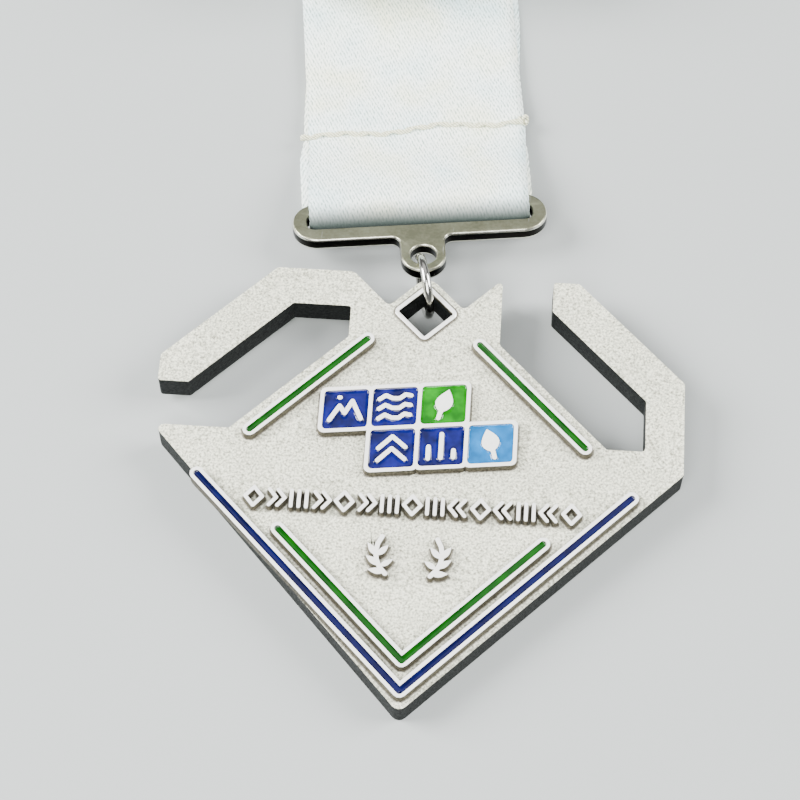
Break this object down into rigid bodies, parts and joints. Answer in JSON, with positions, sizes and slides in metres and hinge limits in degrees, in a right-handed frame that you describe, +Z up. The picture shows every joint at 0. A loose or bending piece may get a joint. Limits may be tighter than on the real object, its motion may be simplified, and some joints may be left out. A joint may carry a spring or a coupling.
{
  "type": "sports finisher medal",
  "caption": "Cast sports medal with hooked arms, raised enamel lines and tiles, linked by a jump ring to a slotted hanger and a rolled satin neck ribbon.",
  "frame": {"origin": "on the plane the medal lies on, under the middle of its bounding box", "axes": "+Z up out of the medal's face, +Y from the badge's lower tip towards the ribbon, +X to the right seen from the face"},
  "size_m": [0.08, 0.153, 0.0235],
  "materials": {
    "cast_silver": "sand-blasted silver plate on zinc casting, polished relief tops",
    "green_enamel": "glossy soft enamel",
    "dark_blue_enamel": "glossy soft enamel",
    "sky_enamel": "glossy soft enamel",
    "polished_steel": "polished",
    "nickel_plate": "tumbled nickel plate",
    "white_satin": "satin weave",
    "cream_thread": "twisted polyester thread"
  },
  "bodies": {
    "badge": {"medal_body": "cast_silver", "enamel_line_upper_left": "green_enamel", "enamel_line_upper_right": "green_enamel", "enamel_vee_inner": "green_enamel", "enamel_vee_outer": "dark_blue_enamel", "enamel_tile_peaks": "dark_blue_enamel", "enamel_tile_waves": "dark_blue_enamel", "enamel_tile_leaf_green": "green_enamel", "enamel_tile_chevrons": "dark_blue_enamel", "enamel_tile_podium": "dark_blue_enamel", "enamel_tile_leaf_sky": "sky_enamel"},
    "ring": {"jump_ring": "polished_steel"},
    "hanger": {"ribbon_hanger": "nickel_plate"},
    "ribbon": {"ribbon_front_strand": "white_satin", "ribbon_rear_strand": "white_satin", "ribbon_roll": "white_satin", "seam_thread": "cream_thread"}
  },
  "joints": [
    {"name": "ring_sway", "type": "hinge", "parent": "badge", "child": "ring", "pos_m": [-0.0002, -0.00679, 0.005], "axis": [0, -0.0299, 0.9996], "range_deg": [-10, 8]},
    {"name": "hanger_swing", "type": "hinge", "parent": "ring", "child": "hanger", "pos_m": [-0.0006, -0.00617, 0.0052], "axis": [0.9703, 0.2419, 0], "range_deg": [-60, 25]},
    {"name": "ribbon_swing", "type": "hinge", "parent": "hanger", "child": "ribbon", "pos_m": [-0.00241, 0.00919, 0.00377], "axis": [0.9917, 0.1288, 0], "range_deg": [-75, 90]}
  ]
}
